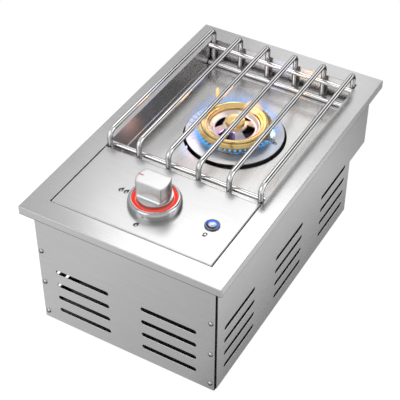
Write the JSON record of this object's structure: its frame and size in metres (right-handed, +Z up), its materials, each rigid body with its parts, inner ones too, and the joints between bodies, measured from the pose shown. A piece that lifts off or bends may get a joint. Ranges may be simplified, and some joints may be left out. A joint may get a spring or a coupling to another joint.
{
  "type": "single side burner",
  "caption": "Drop-in gas side burner: steel box with a counter flange, flush control panel, lit knob and light button, sunken pan, brass flame ring and rod grate.",
  "frame": {"origin": "under the middle of the counter flange, on the plane that the base stands on", "axes": "+X to the user's right, +Y from the control panel to the back, +Z up"},
  "size_m": [0.318, 0.52, 0.2656],
  "materials": {
    "brushed_steel": "fine straight brushing",
    "sheet_steel": "fine straight brushing",
    "pan_steel": "half bright, lightly brushed",
    "polished_steel": "polished",
    "polished_rod": "polished",
    "chrome_trim": "polished",
    "satin_metal": "satin",
    "screw_steel": "bright",
    "brass": "machined",
    "cast_body": "as cast",
    "pipe_aluminium": "drawn",
    "red_light": "lit diffuser",
    "blue_light": "lit diffuser",
    "circuit_board": "varnished",
    "white_plastic": "moulded",
    "black_plastic": "moulded",
    "ceramic": "glazed",
    "lead_rubber": "silicone",
    "pointer_enamel": "filled line"
  },
  "bodies": {
    "housing": {"top_frame": "brushed_steel", "control_panel": "brushed_steel", "panel_rear_rail": "sheet_steel", "burner_pan": "pan_steel", "front_panel": "sheet_steel", "left_side_panel": "sheet_steel", "right_side_panel": "sheet_steel", "left_corner_post": "sheet_steel", "right_corner_post": "sheet_steel", "rear_panel": "sheet_steel", "base_panel": "sheet_steel", "front_panel_screws": "screw_steel", "burner_cradle": "sheet_steel", "burner_body": "cast_body", "burner_screws": "screw_steel", "burner_plate": "polished_steel", "inner_cup": "polished_steel", "mixing_tube": "sheet_steel", "gas_jet": "brass", "gas_feed_pipe": "pipe_aluminium", "pipe_nuts": "brass", "gas_valve_body": "brass", "valve_bracket": "sheet_steel", "valve_screws": "screw_steel", "gas_inlet_pipe": "pipe_aluminium", "inlet_fitting": "brass", "inlet_lock_nut": "brass", "knob_bezel": "chrome_trim", "bezel_screws": "screw_steel", "knob_light_board": "circuit_board", "knob_light_ring": "red_light", "button_housing": "chrome_trim", "button_light_ring": "blue_light", "button_nut": "screw_steel", "piezo_igniter": "white_plastic", "electrode_ceramic": "ceramic", "electrode_tip": "screw_steel", "electrode_bracket": "sheet_steel", "electrode_screw": "screw_steel", "igniter_lead": "lead_rubber", "power_inlet": "black_plastic", "light_lead": "lead_rubber"},
    "stem_slider": {"stem_collar": "screw_steel"},
    "knob": {"knob_grip": "satin_metal", "knob_pointer": "pointer_enamel", "valve_stem": "screw_steel"},
    "light_button": {"button_cap": "chrome_trim"},
    "shutter": {"air_shutter": "sheet_steel"},
    "ring_burner": {"flame_ring": "brass"},
    "cap_burner": {"centre_cap": "brass"},
    "grate": {"grate_rod_1": "polished_rod", "grate_rod_2": "polished_rod", "grate_rod_3": "polished_rod", "grate_rod_4": "polished_rod", "grate_rod_5": "polished_rod", "grate_rod_6": "polished_rod", "front_top_rail": "polished_rod", "rear_top_rail": "polished_rod", "front_low_rail": "polished_rod", "rear_low_rail": "polished_rod"}
  },
  "joints": [
    {"name": "knob_press", "type": "slide", "parent": "housing", "child": "stem_slider", "axis": [0, 0, -1], "range_m": [0, 0.003], "stiffness_N_per_m": 1500, "springref_m": -0.002},
    {"name": "knob_turn", "type": "hinge", "parent": "stem_slider", "child": "knob", "pos_m": [0, -0.1607, 0.2225], "axis": [0, 0, 1], "range_deg": [-90, 90]},
    {"name": "light_button_press", "type": "slide", "parent": "housing", "child": "light_button", "axis": [0, 0, -1], "range_m": [0, 0.0015], "stiffness_N_per_m": 800, "springref_m": -0.001},
    {"name": "air_shutter_turn", "type": "hinge", "parent": "housing", "child": "shutter", "pos_m": [0, -0.0722, 0.1385], "axis": [0, 1, 0], "range_deg": [-30, 30]},
    {"name": "flame_ring_lift", "type": "slide", "parent": "housing", "child": "ring_burner", "axis": [0, 0, 1], "range_m": [0, 0.02]},
    {"name": "centre_cap_lift", "type": "slide", "parent": "housing", "child": "cap_burner", "axis": [0, 0, 1], "range_m": [0, 0.02]},
    {"name": "grate_lift", "type": "slide", "parent": "housing", "child": "grate", "axis": [0, 0, 1], "range_m": [0, 0.1]}
  ]
}
